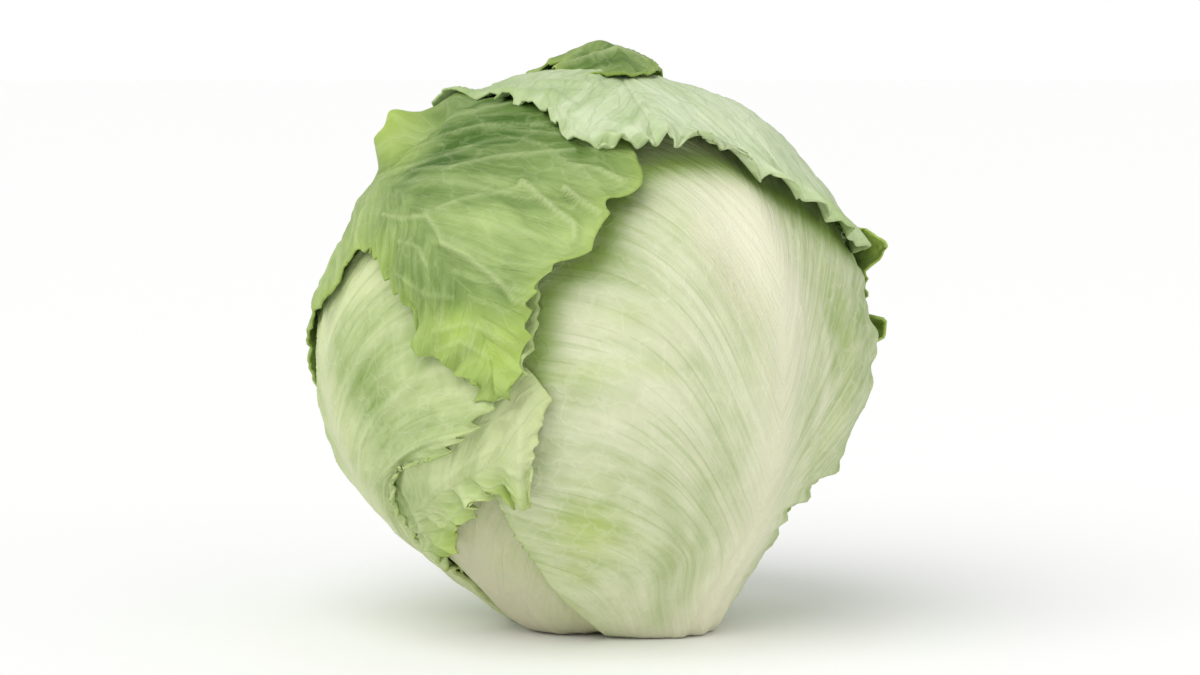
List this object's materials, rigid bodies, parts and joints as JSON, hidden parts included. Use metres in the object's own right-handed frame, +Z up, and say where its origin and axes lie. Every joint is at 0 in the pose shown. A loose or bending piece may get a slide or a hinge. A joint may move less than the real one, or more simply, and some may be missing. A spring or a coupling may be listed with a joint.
{
  "type": "head of lettuce",
  "caption": "Round, tight head of crisp iceberg lettuce with loose frilled outer leaves, standing on its cut stem.",
  "frame": {"origin": "centre of the cut face of the stem, on the surface that the head stands on", "axes": "+Z up, square to the cut face; -Y to the front, where the broad front leaf shows; +X to the front's right. The head's own axis leans 7.8 degrees towards -X"},
  "size_m": [0.1624, 0.1619, 0.1665],
  "materials": {
    "leaf_green": "smooth, wrinkled green leaf",
    "leaf_pale": "waxy, pale green leaf",
    "leaf_heart": "smooth, yellow heart leaf",
    "stem_cream": "matt, moist cut stem"
  },
  "bodies": {
    "root": {"front_leaf": "leaf_pale", "base_leaf": "leaf_pale", "cap_leaf": "leaf_pale", "back_leaf": "leaf_pale", "inner_right_leaf": "leaf_pale", "flap_leaf": "leaf_green", "left_leaf": "leaf_green", "shoulder_leaf": "leaf_green", "right_leaf": "leaf_green", "crown_leaf": "leaf_green", "heart_leaf_01": "leaf_heart", "heart_leaf_02": "leaf_heart", "heart_leaf_03": "leaf_heart", "heart_leaf_04": "leaf_heart", "heart_leaf_05": "leaf_heart", "heart_leaf_06": "leaf_heart", "heart_leaf_07": "leaf_heart", "heart_leaf_08": "leaf_heart", "heart_bud": "leaf_heart", "cut_stem": "stem_cream"}
  },
  "joints": []
}
